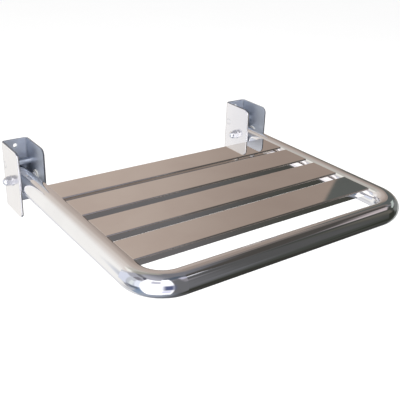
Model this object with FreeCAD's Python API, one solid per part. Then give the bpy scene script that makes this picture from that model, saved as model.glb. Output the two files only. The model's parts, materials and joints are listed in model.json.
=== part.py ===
"""Fold-down wall seat: a bent tube frame with coped slats, hinged in two wall brackets.

Millimetres. X runs along the wall, Y into the wall and Z up, and the seat reaches
towards -Y. The origin lies on the wall plane, midway between the brackets and level
with the pivots, which is the centre of the four wall screws.
"""

import FreeCAD
import Part
import math
import os

# Seat frame: one tube bent into a U
seat_width = 450.0
seat_depth = 408.0
tube_diameter = 32.0
tube_wall = 1.5
bend_radius = 42.0
tube_end_from_wall = 9.0

# Slats: folded channels, open below, with their ends coped to the side tubes
slat_count = 4
slat_width = 52.0
slat_height = 10.0
slat_sheet = 1.5
slat_fold_radius = 2.0
slat_below_tube_top = 3.3
front_gap = 35.0
slat_gap = 15.0
rear_slat_gap = 10.0

# Wall brackets: folded U channels
bracket_height = 102.0
bracket_depth = 65.0
bracket_sheet = 3.0
bracket_inner_bend = 3.0
bracket_corner_radius = 10.0
bracket_edge_round = 1.5
wall_hole_diameter = 6.5
wall_hole_from_end = 10.0

# Pivot: a bolt through each bracket and a sleeve welded into the tube
pivot_from_wall = 34.0
pivot_above_tube_axis = 4.0
bolt_diameter = 8.0
bolt_in_nut = 5.3
bolt_hole_clearance = 0.4
running_clearance = 0.075
sleeve_diameter = 12.0
spacer_diameter = 18.0
spacer_thickness = 1.5
spacer_play = 0.25
washer_diameter = 16.0
washer_thickness = 1.6

# Bolt head and cap nut
hex_across_flats = 13.0
bolt_head_height = 5.3
nut_hex_height = 6.5
nut_height = 12.0
nut_dome_diameter = 12.4
nut_thread_spare = 2.7
thread_clearance = 0.05
hex_chamfer_angle = 30.0

# Stop pin: a bar across each bracket that holds the tube's rear end down
stop_pin_diameter = 10.0
stop_pin_from_wall = 12.0
stop_clearance = 0.3
stop_pin_chamfer = 0.4

# Plug in each open end of the tube
plug_head_thickness = 1.5
plug_head_inset = 0.5
plug_head_chamfer = 0.8
plug_length = 13.0
plug_wall = 2.0
plug_rib_count = 2
plug_rib_height = 1.6
plug_rib_width = 1.2
plug_fit_clearance = 0.05

tube_radius = tube_diameter / 2
tube_bore_radius = tube_radius - tube_wall
tube_axis_z = -pivot_above_tube_axis
side_x = seat_width / 2 - tube_radius
front_y = tube_radius - seat_depth
tube_end_y = -tube_end_from_wall
pivot_y = -pivot_from_wall
bracket_inside = tube_diameter + 2 * (spacer_thickness + spacer_play)
bracket_width = bracket_inside + 2 * bracket_sheet
bolt_length = bracket_width + 2 * washer_thickness + bolt_in_nut
bolt_hole_diameter = bolt_diameter + bolt_hole_clearance
slat_top_z = tube_axis_z + tube_radius - slat_below_tube_top

SIDES = {"left": -1, "right": 1}


def vector(x, y, z):
    return FreeCAD.Vector(x, y, z)


def rounded_wire(corners, place):
    """Closed wire through corners (u, v, radius), with a tangent arc at each radius over 0.

    place turns a pair (u, v) into a point in space.
    """
    joints = []
    for index, (u, v, radius) in enumerate(corners):
        point = place(u, v)
        before = place(*corners[index - 1][:2]) - point
        after = place(*corners[(index + 1) % len(corners)][:2]) - point
        before.normalize()
        after.normalize()
        if radius <= 0:
            joints.append((point, None, point))
            continue
        half_angle = before.getAngle(after) / 2
        reach = radius / math.tan(half_angle)
        middle = before + after
        middle.normalize()
        nearest = radius / math.sin(half_angle) - radius
        joints.append((point + before * reach, point + middle * nearest, point + after * reach))
    edges = []
    for index, (start, middle, end) in enumerate(joints):
        if middle is not None:
            edges.append(Part.Arc(start, middle, end).toShape())
        following = joints[(index + 1) % len(joints)][0]
        if end.distanceToPoint(following) > 1e-6:
            edges.append(Part.LineSegment(end, following).toShape())
    return Part.Wire(edges)


def prism(corners, place, travel):
    """Solid swept from a rounded outline along the vector travel."""
    return Part.Face(rounded_wire(corners, place)).extrude(travel)


def rod_x(diameter, x_from, x_to, y, z):
    """Round bar along X."""
    return Part.makeCylinder(diameter / 2, x_to - x_from, vector(x_from, y, z), vector(1, 0, 0))


def rod_y(diameter, x, y_from, y_to, z):
    """Round bar along Y, from the larger y to the smaller."""
    return Part.makeCylinder(diameter / 2, y_from - y_to, vector(x, y_from, z), vector(0, -1, 0))


def pivot_ring(diameter, bore, x_from, x_to):
    """Ring on the pivot axis between two x positions, in either order."""
    low, high = sorted((x_from, x_to))
    ring = rod_x(diameter, low, high, pivot_y, 0)
    return ring.cut(rod_x(bore, low, high, pivot_y, 0))


def turned(profile, base, direction):
    """Solid of revolution about an axis of any direction.

    profile holds pairs (distance along the axis, radius), starting and ending on the axis.
    """
    points = [vector(radius, 0, along) for along, radius in profile]
    face = Part.Face(Part.makePolygon(points + [points[0]]))
    solid = face.revolve(vector(0, 0, 0), vector(0, 0, 1), 360)
    solid.Placement = FreeCAD.Placement(base, FreeCAD.Rotation(vector(0, 0, 1), direction))
    return solid


def hexagon(height, base, direction):
    """Hexagonal prism with its outer end chamfered, as bolt heads and nuts are."""
    corner_radius = hex_across_flats / math.sqrt(3)
    corners = []
    for step in range(6):
        angle = math.radians(60 * step)
        corners.append((corner_radius * math.cos(angle), corner_radius * math.sin(angle), 0))
    hexagonal = prism(corners, lambda u, v: vector(u, v, 0), vector(0, 0, height))
    hexagonal.Placement = FreeCAD.Placement(base, FreeCAD.Rotation(vector(0, 0, 1), direction))
    chamfer_start = hex_across_flats / 2 * 0.98
    fall = (corner_radius - chamfer_start) * math.tan(math.radians(hex_chamfer_angle))
    envelope = [(0, 0), (0, corner_radius), (height - fall, corner_radius), (height, chamfer_start), (height, 0)]
    return hexagonal.common(turned(envelope, base, direction))


def bent_rod(diameter):
    """Solid rod along the centreline of the seat frame."""
    corner_x = side_x - bend_radius
    corner_y = front_y + bend_radius
    front = rod_x(diameter, -corner_x, corner_x, front_y, tube_axis_z)
    runs = []
    for side in SIDES.values():
        runs.append(rod_y(diameter, side * side_x, tube_end_y, corner_y, tube_axis_z))
        start = vector(side * side_x, corner_y, tube_axis_z)
        section = Part.Face(Part.Wire(Part.makeCircle(diameter / 2, start, vector(0, 1, 0))))
        centre = vector(side * corner_x, corner_y, tube_axis_z)
        runs.append(section.revolve(centre, vector(0, 0, 1), -90 * side))
    return front.fuse(runs).removeSplitter()


def seat_frame_tube():
    """Hollow U-shaped tube, drilled across for the pivot sleeves."""
    tube = bent_rod(tube_diameter).cut(bent_rod(2 * tube_bore_radius))
    for side in SIDES.values():
        x = side * side_x
        tube = tube.cut(rod_x(sleeve_diameter, x - tube_radius, x + tube_radius, pivot_y, 0))
    return tube


def slat_rear_edges():
    """The y of each slat's rear edge, from the rear slat to the front one."""
    front_edge = front_y + tube_radius + front_gap
    edges = []
    for index in range(slat_count):
        rear_edge = front_edge + slat_width
        edges.insert(0, rear_edge)
        last_gap = rear_slat_gap if index == slat_count - 2 else slat_gap
        front_edge = rear_edge + last_gap
    return edges


def slat(rear_edge):
    """One folded channel slat, its ends cut to the round of the side tubes."""
    front_edge = rear_edge - slat_width
    bottom = slat_top_z - slat_height
    inner_fold = slat_fold_radius - slat_sheet
    corners = [
        (rear_edge, bottom, 0),
        (rear_edge, slat_top_z, slat_fold_radius),
        (front_edge, slat_top_z, slat_fold_radius),
        (front_edge, bottom, 0),
        (front_edge + slat_sheet, bottom, 0),
        (front_edge + slat_sheet, slat_top_z - slat_sheet, inner_fold),
        (rear_edge - slat_sheet, slat_top_z - slat_sheet, inner_fold),
        (rear_edge - slat_sheet, bottom, 0),
    ]
    channel = prism(corners, lambda y, z: vector(-side_x, y, z), vector(2 * side_x, 0, 0))
    return channel.cut(bent_rod(tube_diameter))


def pivot_sleeve(x):
    """Sleeve through the tube that the bolt turns in."""
    bore = bolt_diameter + 2 * running_clearance
    return pivot_ring(sleeve_diameter, bore, x - tube_radius, x + tube_radius)


def tube_plug(x):
    """Ribbed plastic plug in the tube's sawn end, its head towards the wall."""
    head_radius = tube_radius - plug_head_inset
    rib_radius = tube_bore_radius - plug_fit_clearance
    stem_radius = rib_radius - plug_rib_height
    cavity_radius = stem_radius - plug_wall
    rib_pitch = (plug_length - plug_rib_width) / plug_rib_count
    profile = [(plug_head_thickness, 0), (plug_head_thickness, head_radius - plug_head_chamfer)]
    profile += [(plug_head_thickness - plug_head_chamfer, head_radius), (0, head_radius), (0, stem_radius)]
    for index in range(plug_rib_count):
        top = -rib_pitch * (index + 0.5)
        bottom = top - plug_rib_width
        profile += [(top, stem_radius), (top, rib_radius), (bottom, rib_radius), (bottom, stem_radius)]
    profile += [(-plug_length, stem_radius), (-plug_length, cavity_radius), (-plug_wall, cavity_radius), (-plug_wall, 0)]
    return turned(profile, vector(x, tube_end_y, tube_axis_z), vector(0, 1, 0))


def bracket_rim(block):
    """Edges where the block's outer skin meets its cut outline, without the tangent seams."""
    rim = []
    for edge in block.Edges:
        middle = (edge.FirstParameter + edge.LastParameter) / 2
        y = edge.valueAt(middle).y
        along = edge.tangentAt(middle)
        across_front = abs(along.x) > 0.99 and y < -bracket_sheet
        up_the_rear = abs(along.z) > 0.99 and y > bracket_corner_radius - bracket_depth
        if not across_front and not up_the_rear:
            rim.append(edge)
    return rim


def wall_bracket(x):
    """Folded channel with its back on the wall, drilled for pivot, stop pin and wall screws."""
    half = bracket_width / 2
    inner_half = bracket_inside / 2
    outer_bend = bracket_inner_bend + bracket_sheet
    bottom = -bracket_height / 2
    upward = vector(0, 0, bracket_height)
    plan = [(-half, -bracket_depth, 0), (-half, 0, outer_bend), (half, 0, outer_bend), (half, -bracket_depth, 0)]
    profile = [
        (0, bottom, 0),
        (0, -bottom, 0),
        (-bracket_depth, -bottom, bracket_corner_radius),
        (-bracket_depth, bottom, bracket_corner_radius),
    ]
    block = prism(plan, lambda u, v: vector(x + u, v, bottom), upward)
    block = block.common(prism(profile, lambda y, z: vector(x - half, y, z), vector(bracket_width, 0, 0)))
    block = block.makeFillet(bracket_edge_round, bracket_rim(block))
    hollow = [
        (inner_half, -bracket_depth, 0),
        (inner_half, -bracket_sheet, bracket_inner_bend),
        (-inner_half, -bracket_sheet, bracket_inner_bend),
        (-inner_half, -bracket_depth, 0),
    ]
    cuts = [
        prism(hollow, lambda u, v: vector(x + u, v, bottom), upward),
        rod_x(bolt_hole_diameter, x - half, x + half, pivot_y, 0),
        rod_x(stop_pin_diameter, x - half, x + half, -stop_pin_from_wall, stop_pin_z()),
    ]
    for direction in (-1, 1):
        hole_z = direction * (bracket_height / 2 - wall_hole_from_end)
        cuts.append(rod_y(wall_hole_diameter, x, 0, -bracket_sheet, hole_z))
    return block.cut(cuts)


def stop_pin_z():
    """Height of the stop pin's axis, just clear of the lowered tube."""
    return tube_axis_z + tube_radius + stop_clearance + stop_pin_diameter / 2


def stop_pin(x):
    """Bar across the bracket, flush with its outer faces."""
    radius = stop_pin_diameter / 2
    profile = [
        (0, 0),
        (0, radius - stop_pin_chamfer),
        (stop_pin_chamfer, radius),
        (bracket_width - stop_pin_chamfer, radius),
        (bracket_width, radius - stop_pin_chamfer),
        (bracket_width, 0),
    ]
    base = vector(x - bracket_width / 2, -stop_pin_from_wall, stop_pin_z())
    return turned(profile, base, vector(1, 0, 0))


def pivot_bolt(x):
    """Hexagon bolt that enters from the right of each bracket."""
    head_x = x + bracket_width / 2 + washer_thickness
    shank = rod_x(bolt_diameter, head_x - bolt_length, head_x, pivot_y, 0)
    head = hexagon(bolt_head_height, vector(head_x, pivot_y, 0), vector(1, 0, 0))
    return shank.fuse(head).removeSplitter()


def cap_nut(x):
    """Domed nut on the left of each bracket."""
    seat = vector(x - bracket_width / 2 - washer_thickness, pivot_y, 0)
    away = vector(-1, 0, 0)
    dome_radius = nut_dome_diameter / 2
    shoulder = nut_height - dome_radius
    body = hexagon(nut_hex_height, seat, away)
    neck = Part.makeCylinder(dome_radius, shoulder, seat, away)
    dome = Part.makeSphere(dome_radius, seat + away * shoulder, away, 0, 90, 360)
    thread = bolt_in_nut + nut_thread_spare
    bore = Part.makeCylinder(bolt_diameter / 2 + thread_clearance, thread, seat, away)
    return body.fuse([neck, dome]).cut(bore).removeSplitter()


def washer(x, side):
    """Steel washer on one outer face of a bracket."""
    face = x + side * bracket_width / 2
    return pivot_ring(washer_diameter, bolt_hole_diameter, face, face + side * washer_thickness)


def spacer(x, side):
    """Nylon ring on the bolt, inside one cheek, that keeps the tube off it."""
    cheek = x + side * bracket_inside / 2
    return pivot_ring(spacer_diameter, bolt_hole_diameter, cheek, cheek - side * spacer_thickness)


def all_nodes():
    """Every piece by its node name."""
    nodes = {"seat_frame_tube": seat_frame_tube()}
    for number, rear_edge in enumerate(slat_rear_edges(), start=1):
        nodes[f"slat_{number}"] = slat(rear_edge)
    for name, side in SIDES.items():
        x = side * side_x
        nodes[f"{name}_wall_bracket"] = wall_bracket(x)
        nodes[f"{name}_stop_pin"] = stop_pin(x)
        nodes[f"{name}_pivot_bolt"] = pivot_bolt(x)
        nodes[f"{name}_cap_nut"] = cap_nut(x)
        nodes[f"{name}_nut_washer"] = washer(x, -1)
        nodes[f"{name}_head_washer"] = washer(x, 1)
        nodes[f"{name}_outer_spacer"] = spacer(x, side)
        nodes[f"{name}_inner_spacer"] = spacer(x, -side)
        nodes[f"{name}_pivot_sleeve"] = pivot_sleeve(x)
        nodes[f"{name}_tube_plug"] = tube_plug(x)
    return nodes


def main():
    os.makedirs("parts", exist_ok=True)
    for name, shape in all_nodes().items():
        shape.exportStep(f"parts/{name}.step")
        print(f"{name}: {len(shape.Solids)} solid, {shape.Volume:.0f} mm3, valid {shape.isValid()}")


main()
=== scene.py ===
"""Fold-down wall seat: finishes, small weld beads, the room that its steel mirrors, soft studio light
and the photograph's camera."""

import json
import math
import bpy
from mathutils import Matrix, Vector


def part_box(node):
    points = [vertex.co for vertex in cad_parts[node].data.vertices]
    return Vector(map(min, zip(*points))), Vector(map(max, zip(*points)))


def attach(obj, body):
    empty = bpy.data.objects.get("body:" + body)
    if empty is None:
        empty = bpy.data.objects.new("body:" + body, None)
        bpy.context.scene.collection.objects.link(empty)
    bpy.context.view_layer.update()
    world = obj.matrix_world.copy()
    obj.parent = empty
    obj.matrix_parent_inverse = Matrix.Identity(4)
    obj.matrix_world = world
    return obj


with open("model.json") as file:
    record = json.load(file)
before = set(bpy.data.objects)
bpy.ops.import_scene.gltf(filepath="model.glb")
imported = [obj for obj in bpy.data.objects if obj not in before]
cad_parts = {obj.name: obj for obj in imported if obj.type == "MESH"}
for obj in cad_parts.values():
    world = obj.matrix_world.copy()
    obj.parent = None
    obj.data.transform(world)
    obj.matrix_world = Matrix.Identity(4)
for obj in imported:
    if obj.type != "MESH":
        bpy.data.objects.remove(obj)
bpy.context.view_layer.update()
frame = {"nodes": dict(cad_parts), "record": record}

# Screen values to light, by the sRGB curve without its short straight start
screen_white = 255
curve_offset = 0.055
curve_power = 2.4
white = (1, 1, 1, 1)


def tones(red, green, blue):
    """Colour from three screen values, where 255 is white and more is brighter than white."""
    shares = (value / screen_white for value in (red, green, blue))
    return tuple(((share + curve_offset) / (1 + curve_offset)) ** curve_power for share in shares) + (1.0,)


# Camera, fitted to the photograph's edges. Lens and sensor are in millimetres, places in metres.
camera_place = Vector((-0.5313, -0.9233, 0.4005))
camera_azimuth = math.radians(36.0)
camera_downward = math.radians(25.1)
camera_roll = math.radians(2.3)
camera_lens = 59.92
camera_sensor = 36.0
camera_nearest = 0.01

# Floor, well below the seat. Its lift is a glow for camera, glossy and transmission rays only, and glossy
# rays pass the floor by, because the steel mirrors the room instead.
floor_level = -0.46
floor_size = 12.0
floor_tone = (0.96, 0.96, 0.96, 1)
floor_cloud_tone = (0.98, 0.98, 0.98, 1)
floor_cloud_scale = 3.0
floor_roughness = 0.9
floor_lift = 0.12

# Lamps: two soft squares, with their sides in metres and their power in watts
lamp_aim = Vector((0, -0.2, 0))
key_lamp_place = Vector((-1.4, -1.3, 1.9))
key_lamp_side = 1.2
key_lamp_power = 22
top_lamp_place = Vector((0.3, -0.3, 2.4))
top_lamp_side = 1.6
top_lamp_power = 18

# Strength of the sky that lights the seat and of the room that its steel mirrors
sky_light = 0.85
mirror_strength = 1.25
glossy_bounces = 8

# Noise that polishing leaves in steel: its scales, and the middle of its range
cloud_scale = 14.0
cloud_detail = 3.0
line_scale = 260.0
line_detail = 3.0
smear_scale = 38.0
smear_detail = 4.0
polish_roughness = 0.6
line_share = 0.45
smear_share = 0.55
polish_middle = (0.35, 0.65)
even = (1, 1, 1)
steel_bump = 0.25
bevel_samples = 4

# Moulded plastic
grain_scale = 900.0
plastic_cloud_scale = 30.0
grain_middle = (0.3, 0.7)
plastic_bump = 0.3
plastic_grain_depth = 0.00004

# Folded brackets: the middle of the right one, and the places at which their painted shade and light change,
# in metres
bracket_x = 0.209
rim_start = -0.02
mouth_start = -0.02
mouth_end = -0.058
# Painted shade on the cut edges, which are also dull
shaded_cut_tone = tones(140, 147, 160)
cut_roughness = 0.4
# Painted bluish light on the channel's inner faces
painted_inside_light_tone = tones(228, 233, 241)
inside_roughness = 0.42
# Inner faces are less metallic near the mouth, so that the painted light shows most there
mouth_light_metallic = 0.6

# How far a bracket's face turns towards an axis before it counts, as (none, full)
level_turn = (0.6, 0.8)
forward_turn = (0.6, 0.4)
cheek_turn = (0.5, 0.8)
back_turn = (-0.5, -0.8)

# Welds under the slats' ends, in metres. A bead starts as a share of its radius and grows at each step.
slat_sheet = 0.0015
weld_inset = 2 * slat_sheet
weld_radius = 0.0018
weld_offset = 0.001
weld_drop = weld_offset / 2
weld_step = 0.0008
weld_sides = 10
weld_ripple = 0.14
weld_ripple_length = 0.0032
weld_tip = 0.15
weld_growth = 0.4

# Room behind all surfaces: each tone at its left and right, and where one turns into the other, by
# the direction's share to the right. The last pair is the horizon's, in degrees of elevation.
ceiling_left = tones(168, 168, 177)
ceiling_right = tones(118, 118, 124)
ceiling_turn = (-0.35, 0.2)
ground_left = tones(158, 165, 178)
ground_right = tones(88, 89, 93)
ground_turn = (-0.3, 0.3)
horizon_turn = (-20, 20)
half_circle = 180.0

# What the polished steel mirrors: each surface of the room as its middle (azimuth, elevation), its
# half size, its lean and its edge softness, in degrees, and its tone. Azimuth 0 is behind the seat and
# 90 to its right. A later surface lies over an earlier one. All were set one by one, and their tones follow
# the colours that the photograph's steel shows in those directions.
room_surfaces = (
    ("pale_ground_behind", (-6, -46), (46, 18), 0, 4, (216, 216, 219)),
    ("grey_ground_left", (-52, -46), (24, 7), 0, 4, (186, 186, 190)),
    ("pale_beige_wall", (-16, 34), (26, 16), 0, 5, (217, 209, 204)),
    ("cream_wall", (-33, -6), (21, 36), 0, 12, (242, 240, 237)),
    ("beige_wall", (13, 16), (21, 30), 0, 10, (206, 197, 190)),
    ("green_grey_wall", (-2, 58), (34, 9), 0, 4, (158, 156, 148)),
    ("upper_wall", (-6, 51), (28, 5), 0, 4, (188, 184, 177)),
    ("beige_wall_far", (34, 14), (19, 37), 0, 11, (182, 169, 161)),
    ("beige_wall_end", (58, 18), (22, 36), 0, 9, (152, 139, 131)),
    ("pale_upper_wall", (-27, 46.5), (10, 5), 0, 3, (236, 235, 229)),
    ("pale_blue_pane", (-55, 6), (12, 28), 8, 3, (216, 220, 234)),
    ("pane_frame", (-42, 8), (1.5, 30), 0, 2, (186, 190, 200)),
    ("pale_left_wall", (-75, 10), (9, 26), 0, 4, (196, 199, 206)),
    ("bright_left_door", (-80, 0), (5, 16), 8, 3, (226, 231, 232)),
    ("bright_left_wall", (-98, 8), (12, 24), 0, 4, (236, 240, 251)),
    ("dark_left_window", (-82, 42), (10, 8), 10, 3, (126, 124, 132)),
    ("window_top_rail", (-98, 53), (18, 4), 30, 2, (74, 74, 90)),
    ("curtain_rail", (-62, 62), (26, 4), 0, 3, (118, 118, 122)),
    ("blue_ground", (-94, -36), (10, 18), 22, 4, (126, 144, 170)),
    ("blue_ground_edge", (-68, -56), (30, 6), -16, 4, (142, 156, 176)),
    ("dark_left_sill", (-80, -26), (14, 6), 0, 3, (108, 113, 122)),
    ("dark_left_sill_end", (-62, -30), (9, 6), -40, 3, (150, 150, 157)),
    ("dark_room", (118, -14), (26, 54), 0, 4, (68, 70, 66)),
    ("dark_floor", (92, -52), (48, 9), 0, 4, (54, 54, 50)),
    ("grey_front", (166, 0), (24, 52), 0, 9, (106, 106, 109)),
    ("dark_front", (141, 14), (7, 26), 0, 4, (83, 83, 83)),
    ("fold_light", (152, 36), (6, 14), 0, 4, (140, 137, 143)),
    ("slate_upper_front", (160, 68), (40, 8), 0, 6, (86, 94, 106)),
    ("dark_corner", (66, 20), (15, 16), 0, 1.5, (90, 94, 93)),
    ("dark_corner_post", (54.5, 22.5), (5.7, 8), 22, 0.2, (90, 94, 93)),
    ("dark_corner_foot", (54, 7), (8, 11), 0, 2.5, (106, 104, 97)),
    ("brown_corner", (68, 44), (10, 8), 0, 4, (112, 105, 102)),
    ("dark_beam", (104, 49), (30, 9), 0, 4, (74, 71, 68)),
    ("grey_green_room", (90, 5), (17, 10), 0, 4, (118, 121, 119)),
    ("light_gap", (86, 24), (16, 4), 0, 2, (182, 191, 186)),
    ("brown_right_room", (124, 17), (8, 12), 0, 4, (98, 95, 88)),
    ("bright_doorway", (76, -22), (17, 17), 0, 4, (166, 168, 165)),
    ("dark_green_room", (118, -14), (10, 22), 0, 4, (50, 52, 46)),
    ("pink_strip", (106, 39.6), (13, 3), -10, 3, (198, 186, 188)),
    ("pale_lamp", (133.5, 47.5), (2.4, 1.5), -48, 0.8, (242, 242, 248)),
    ("pale_lamp_arc", (145, 52), (8, 7), 0, 3, (186, 185, 202)),
    ("left_pane", (-162, 4), (14, 62), 0, 3, (280, 280, 286)),
    ("right_pane", (-126, -2), (25, 60), 0, 4, (300, 300, 304)),
    ("lavender_sash", (-134, 42), (13, 10), 0, 4, (198, 198, 210)),
    ("lavender_below", (-160, -34), (12, 9), 0, 5, (222, 222, 244)),
    ("blue_figure", (-165, -2), (13, 19), 0, 8, (90, 97, 130)),
)


class Nodes:
    """Short calls that add and link shader nodes."""

    def __init__(self, tree):
        self.tree = tree
        tree.nodes.clear()

    def add(self, kind, **settings):
        node = self.tree.nodes.new(kind)
        for name, value in settings.items():
            setattr(node, name, value)
        return node

    def link(self, source, target):
        self.tree.links.new(source, target)

    def feed(self, socket, value):
        """Links a socket to value, or sets it."""
        if isinstance(value, bpy.types.NodeSocket):
            self.link(value, socket)
        else:
            socket.default_value = value

    def math(self, operation, *values):
        """Result of an operation on one, two or three values."""
        node = self.add("ShaderNodeMath", operation=operation)
        for socket, value in zip(node.inputs, values):
            self.feed(socket, value)
        return node.outputs[0]

    def fade(self, value, low, high, start=0.0, end=1.0):
        """Smooth step from start, where value is low, to end, where it is high."""
        node = self.add("ShaderNodeMapRange", interpolation_type="SMOOTHSTEP")
        self.feed(node.inputs["Value"], value)
        node.inputs["From Min"].default_value = low
        node.inputs["From Max"].default_value = high
        node.inputs["To Min"].default_value = start
        node.inputs["To Max"].default_value = end
        return node.outputs["Result"]

    def blend(self, share, first, second):
        """Colour between first and second."""
        node = self.add("ShaderNodeMix", data_type="RGBA")
        self.feed(node.inputs["Factor"], share)
        self.feed(node.inputs["A"], first)
        self.feed(node.inputs["B"], second)
        return node.outputs["Result"]

    def split(self, vector):
        """The three parts of a vector."""
        node = self.add("ShaderNodeSeparateXYZ")
        self.link(vector, node.inputs[0])
        return node.outputs

    def place(self, stretch):
        """Object coordinates, stretched."""
        coordinates = self.add("ShaderNodeTexCoord")
        mapping = self.add("ShaderNodeMapping")
        mapping.inputs["Scale"].default_value = stretch
        self.link(coordinates.outputs["Object"], mapping.inputs["Vector"])
        return mapping.outputs["Vector"]

    def noise(self, stretch, scale, detail=2.0, roughness=0.5):
        node = self.add("ShaderNodeTexNoise")
        node.inputs["Scale"].default_value = scale
        node.inputs["Detail"].default_value = detail
        node.inputs["Roughness"].default_value = roughness
        self.link(self.place(stretch), node.inputs["Vector"])
        return node.outputs["Fac"]

    def bump(self, height, strength, distance):
        node = self.add("ShaderNodeBump")
        node.inputs["Strength"].default_value = strength
        node.inputs["Distance"].default_value = distance
        self.link(height, node.inputs["Height"])
        return node

    def background(self, color, strength):
        node = self.add("ShaderNodeBackground")
        self.feed(node.inputs["Color"], color)
        node.inputs["Strength"].default_value = strength
        return node.outputs[0]

    def choose(self, share, first, second):
        """Shader between first and second."""
        node = self.add("ShaderNodeMixShader")
        self.link(share, node.inputs["Fac"])
        self.link(first, node.inputs[1])
        self.link(second, node.inputs[2])
        return node.outputs[0]

    def rays(self):
        """Masks of the camera's own rays, and of those that a mirror or a clear material sends on."""
        path = self.add("ShaderNodeLightPath").outputs
        return path["Is Camera Ray"], self.math("MAXIMUM", path["Is Glossy Ray"], path["Is Transmission Ray"])


def new_material(name):
    material = bpy.data.materials.new(name)
    material.use_nodes = True
    nodes = Nodes(material.node_tree)
    shader = nodes.add("ShaderNodeBsdfPrincipled")
    output = nodes.add("ShaderNodeOutputMaterial")
    nodes.link(shader.outputs[0], output.inputs["Surface"])
    return material, nodes, shader


def bracket_light_and_shade_masks(nodes):
    """Masks of a folded bracket's cut edges, its channel's inner faces and their part near the mouth.

    The cut edges, which take painted shade, are all the level ones and, as in the photograph, only the right
    cheek's front rim. The inner faces take painted bluish light, most near the mouth.
    """
    coordinates = nodes.add("ShaderNodeTexCoord").outputs
    facing_x, facing_y, facing_z = nodes.split(coordinates["Normal"])
    x, y, _ = nodes.split(coordinates["Object"])
    from_middle = nodes.math("SUBTRACT", bracket_x, nodes.math("ABSOLUTE", x))
    inward = nodes.math("MULTIPLY", nodes.math("SIGN", x), nodes.math("SIGN", from_middle))
    right_cheek = nodes.math("LESS_THAN", inward, 0.0)
    front = nodes.math("LESS_THAN", y, rim_start)
    level = nodes.fade(nodes.math("ABSOLUTE", facing_z), *level_turn)
    forward = nodes.fade(nodes.math("ABSOLUTE", facing_x), *forward_turn)
    # Painted shade falls on the right cheek's front rim only
    rim = nodes.math("MULTIPLY", nodes.math("MULTIPLY", forward, front), right_cheek)
    cheek = nodes.fade(nodes.math("MULTIPLY", facing_x, inward), *cheek_turn)
    back = nodes.math("MULTIPLY", nodes.fade(facing_y, *back_turn), nodes.math("SUBTRACT", 1.0, front))
    # Where the painted light on the inner faces shows most
    mouth = nodes.math("MULTIPLY", cheek, nodes.fade(y, mouth_start, mouth_end))
    return nodes.math("MAXIMUM", level, rim), nodes.math("MAXIMUM", cheek, back), mouth


def steel(name, color, shade, roughness, grain, grain_depth, edge_radius, folded=False):
    """Polished or brushed steel.

    color and shade are two near tones, roughness a (low, high) pair, grain the stretch that
    draws the polishing lines out along one axis, and edge_radius the softened edge. A folded
    bracket has dull cut edges with painted shade and inner faces with painted bluish light, less metallic
    near its mouth so that this painted light shows most there.
    """
    material, nodes, shader = new_material(name)
    clouds = nodes.noise(even, cloud_scale, cloud_detail)
    base = nodes.blend(nodes.fade(clouds, *polish_middle), color, shade)
    shader.inputs["Metallic"].default_value = 1.0
    lines = nodes.noise(grain, line_scale, line_detail, polish_roughness)
    smears = nodes.noise(even, smear_scale, smear_detail, polish_roughness)
    line_part = nodes.math("MULTIPLY", lines, line_share)
    smear_part = nodes.math("MULTIPLY", smears, smear_share)
    shine = nodes.fade(nodes.math("ADD", line_part, smear_part), *polish_middle, *roughness)
    if folded:
        # Painted shade on the cut edges, painted bluish light on the inner faces, strongest near the mouth
        cut, inside, mouth = bracket_light_and_shade_masks(nodes)
        base = nodes.blend(inside, base, painted_inside_light_tone)
        base = nodes.blend(cut, base, shaded_cut_tone)
        nodes.link(nodes.fade(mouth, 0, 1, 1.0, mouth_light_metallic), shader.inputs["Metallic"])
        dull_cut = nodes.math("MULTIPLY", cut, cut_roughness)
        dull_inside = nodes.math("MULTIPLY", inside, inside_roughness)
        shine = nodes.math("MAXIMUM", shine, nodes.math("MAXIMUM", dull_cut, dull_inside))
    nodes.link(base, shader.inputs["Base Color"])
    nodes.link(shine, shader.inputs["Roughness"])
    bevel = nodes.add("ShaderNodeBevel", samples=bevel_samples)
    bevel.inputs["Radius"].default_value = edge_radius
    bump = nodes.bump(lines, steel_bump, grain_depth)
    nodes.link(bevel.outputs["Normal"], bump.inputs["Normal"])
    nodes.link(bump.outputs["Normal"], shader.inputs["Normal"])
    return material


def plastic(name, color, shade, roughness):
    """Moulded plastic with a fine grain."""
    material, nodes, shader = new_material(name)
    grain = nodes.noise(even, grain_scale)
    clouds = nodes.noise(even, plastic_cloud_scale)
    nodes.link(nodes.blend(clouds, color, shade), shader.inputs["Base Color"])
    nodes.link(nodes.fade(grain, *grain_middle, *roughness), shader.inputs["Roughness"])
    bump = nodes.bump(grain, plastic_bump, plastic_grain_depth)
    nodes.link(bump.outputs["Normal"], shader.inputs["Normal"])
    return material


def finishes():
    """A material for each slot of the record."""
    return {
        "polished_stainless": steel(
            "polished_tube", tones(231, 231, 232), tones(227, 227, 228),
            roughness=(0.03, 0.06), grain=even, grain_depth=0.000003, edge_radius=0.0003,
        ),
        "slat_stainless": steel(
            "polished_slats", tones(229, 225, 221), tones(225, 220, 216),
            roughness=(0.02, 0.045), grain=(0.04, 1, 1), grain_depth=0.000003, edge_radius=0.0004,
        ),
        "bracket_stainless": steel(
            "satin_brackets", tones(242, 240, 239), tones(238, 236, 235),
            roughness=(0.18, 0.25), grain=(1, 1, 0.05), grain_depth=0.000001, edge_radius=0.0009, folded=True,
        ),
        "fastener_stainless": steel(
            "bright_fasteners", tones(240, 240, 241), tones(234, 234, 236),
            roughness=(0.28, 0.38), grain=even, grain_depth=0.000005, edge_radius=0.0003,
        ),
        "nylon": plastic("white_nylon", tones(236, 235, 230), tones(228, 227, 222), roughness=(0.35, 0.5)),
        "plug_plastic": plastic("black_plug", tones(30, 30, 32), tones(38, 38, 40), roughness=(0.45, 0.62)),
    }


def dress_nodes(materials):
    """Gives each carried-over node the finish of its slot."""
    for row in frame["record"]["subparts"]:
        mesh = frame["nodes"][row["node"]].data
        mesh.materials.clear()
        mesh.materials.append(materials[row["material_slot"]])


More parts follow.
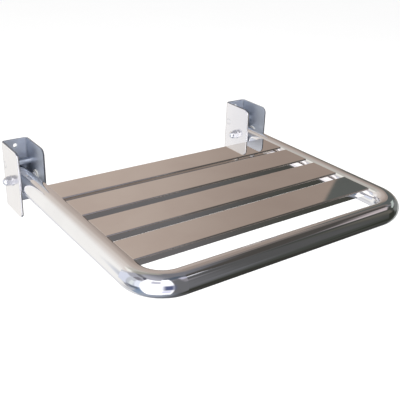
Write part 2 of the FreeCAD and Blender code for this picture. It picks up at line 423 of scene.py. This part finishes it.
def weld_bead(name, start, end):
    """Rippled bead of weld laid from start to end, with closed round ends."""
    along = end - start
    count = round(along.length / weld_step)
    points = []
    for step in range(count + 1):
        share = step / count
        swell = 1 + weld_ripple * math.sin(share * along.length / weld_ripple_length * 2 * math.pi)
        taper = min(1.0, weld_tip + min(step, count - step) * weld_growth)
        radius = weld_radius * swell * taper
        centre = start + along * share
        for side in range(weld_sides):
            angle = 2 * math.pi * side / weld_sides
            points.append(centre + Vector((radius * math.cos(angle), 0, radius * math.sin(angle))))
    first_ring = range(weld_sides)
    last_ring = range(count * weld_sides, (count + 1) * weld_sides)
    faces = [tuple(first_ring), tuple(reversed(last_ring))]
    for step in range(count):
        for side in range(weld_sides):
            near = step * weld_sides + side
            far = step * weld_sides + (side + 1) % weld_sides
            faces.append((near, near + weld_sides, far + weld_sides, far))
    mesh = bpy.data.meshes.new(name)
    mesh.from_pydata(points, [], faces)
    mesh.shade_smooth()
    bead = bpy.data.objects.new(name, mesh)
    bpy.context.collection.objects.link(bead)
    return bead


def slat_welds(finish):
    """A bead under each slat's sheet at both ends, where it meets the side tubes."""
    low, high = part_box("seat_frame_tube")
    tube_radius = (high.z - low.z) / 2
    tube_x = high.x - tube_radius
    tube_z = (low.z + high.z) / 2
    for slat in ("slat_1", "slat_2", "slat_3", "slat_4"):
        front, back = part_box(slat)
        under = back.z - slat_sheet
        reach = math.sqrt(tube_radius ** 2 - (under - tube_z) ** 2)
        for side, sign in (("left", -1), ("right", 1)):
            x = sign * (tube_x - reach - weld_offset)
            start = Vector((x, front.y + weld_inset, under - weld_drop))
            end = Vector((x, back.y - weld_inset, under - weld_drop))
            bead = weld_bead(f"{side}_{slat}_weld", start, end)
            bead.data.materials.append(finish)
            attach(bead, "seat")


def angle_patch(nodes, azimuth, elevation, centre, half, lean, softness):
    """Mask of a soft-edged patch of the surroundings, all in degrees."""
    off = nodes.math("SUBTRACT", azimuth, centre[0])
    across = nodes.math("WRAP", off, half_circle, -half_circle)
    upward = nodes.math("SUBTRACT", elevation, centre[1])
    if lean:
        run = math.cos(math.radians(lean))
        rise = math.sin(math.radians(lean))
        along = nodes.math("ADD", nodes.math("MULTIPLY", across, run), nodes.math("MULTIPLY", upward, rise))
        upward = nodes.math(
            "SUBTRACT", nodes.math("MULTIPLY", upward, run), nodes.math("MULTIPLY", across, rise)
        )
        across = along
    wide = nodes.fade(nodes.math("ABSOLUTE", across), half[0] + softness, half[0] - softness)
    high = nodes.fade(nodes.math("ABSOLUTE", upward), half[1] + softness, half[1] - softness)
    return nodes.math("MULTIPLY", wide, high)


def mirrored_room(nodes):
    """Colour of the room by the direction in which it is seen."""
    x, y, z = nodes.split(nodes.add("ShaderNodeTexCoord").outputs["Generated"])
    azimuth = nodes.math("MULTIPLY", nodes.math("ARCTAN2", x, y), math.degrees(1))
    elevation = nodes.math("MULTIPLY", nodes.math("ARCSINE", z), math.degrees(1))
    ceiling = nodes.blend(nodes.fade(x, *ceiling_turn), ceiling_left, ceiling_right)
    ground = nodes.blend(nodes.fade(x, *ground_turn), ground_left, ground_right)
    room = nodes.blend(nodes.fade(elevation, *horizon_turn), ground, ceiling)
    for name, centre, half, lean, softness, tone in room_surfaces:
        patch = angle_patch(nodes, azimuth, elevation, centre, half, lean, softness)
        room = nodes.blend(patch, room, tones(*tone))
        room.node.label = name
    return room


def studio_world():
    """White for the camera, soft white light on the object, and the room that its steel mirrors."""
    world = bpy.data.worlds.new("studio")
    bpy.context.scene.world = world
    world.use_nodes = True
    nodes = Nodes(world.node_tree)
    room = nodes.background(mirrored_room(nodes), mirror_strength)
    camera_ray, mirrored = nodes.rays()
    unseen = nodes.choose(mirrored, nodes.background(white, sky_light), room)
    final = nodes.choose(camera_ray, unseen, nodes.background(white, 1.0))
    nodes.link(final, nodes.add("ShaderNodeOutputWorld").inputs["Surface"])


def pale_floor():
    """Large pale floor well below the seat, which takes its soft shadow."""
    mesh = bpy.data.meshes.new("floor")
    half = floor_size / 2
    corners = [(-half, -half, 0), (half, -half, 0), (half, half, 0), (-half, half, 0)]
    mesh.from_pydata(corners, [], [(0, 1, 2, 3)])
    floor = bpy.data.objects.new("floor", mesh)
    floor.location.z = floor_level
    bpy.context.collection.objects.link(floor)
    material, nodes, shader = new_material("pale_floor")
    clouds = nodes.noise(even, floor_cloud_scale)
    nodes.link(nodes.blend(clouds, floor_tone, floor_cloud_tone), shader.inputs["Base Color"])
    shader.inputs["Roughness"].default_value = floor_roughness
    shader.inputs["Specular IOR Level"].default_value = 0.0
    shader.inputs["Emission Color"].default_value = white
    seen = nodes.math("MAXIMUM", *nodes.rays())
    nodes.link(nodes.math("MULTIPLY", seen, floor_lift), shader.inputs["Emission Strength"])
    mesh.materials.append(material)
    floor.visible_glossy = False


def soft_lamp(name, place, side, power):
    """Square lamp aimed at the seat, which the steel doesn't mirror."""
    lamp = bpy.data.lights.new(name, "AREA")
    lamp.shape = "SQUARE"
    lamp.size = side
    lamp.energy = power
    holder = bpy.data.objects.new(name, lamp)
    holder.location = place
    holder.rotation_euler = (lamp_aim - place).to_track_quat("-Z", "Y").to_euler()
    holder.visible_glossy = False
    bpy.context.collection.objects.link(holder)


def photo_camera():
    """Camera at the photograph's angle, rolled as it was held."""
    data = bpy.data.cameras.new("photo_camera")
    data.lens = camera_lens
    data.sensor_width = camera_sensor
    data.clip_start = camera_nearest
    camera = bpy.data.objects.new("photo_camera", data)
    level = math.cos(camera_downward)
    right = level * math.sin(camera_azimuth)
    ahead = level * math.cos(camera_azimuth)
    turn = Vector((right, ahead, -math.sin(camera_downward))).to_track_quat("-Z", "Y").to_matrix().to_4x4()
    camera.matrix_world = Matrix.Translation(camera_place) @ turn @ Matrix.Rotation(camera_roll, 4, "Z")
    bpy.context.collection.objects.link(camera)
    bpy.context.scene.camera = camera


materials = finishes()
dress_nodes(materials)
slat_welds(materials["slat_stainless"])
studio_world()
pale_floor()
soft_lamp("key_lamp", key_lamp_place, key_lamp_side, key_lamp_power)
soft_lamp("top_lamp", top_lamp_place, top_lamp_side, top_lamp_power)
photo_camera()
bpy.context.scene.view_settings.view_transform = "Standard"
bpy.context.scene.cycles.glossy_bounces = glossy_bounces
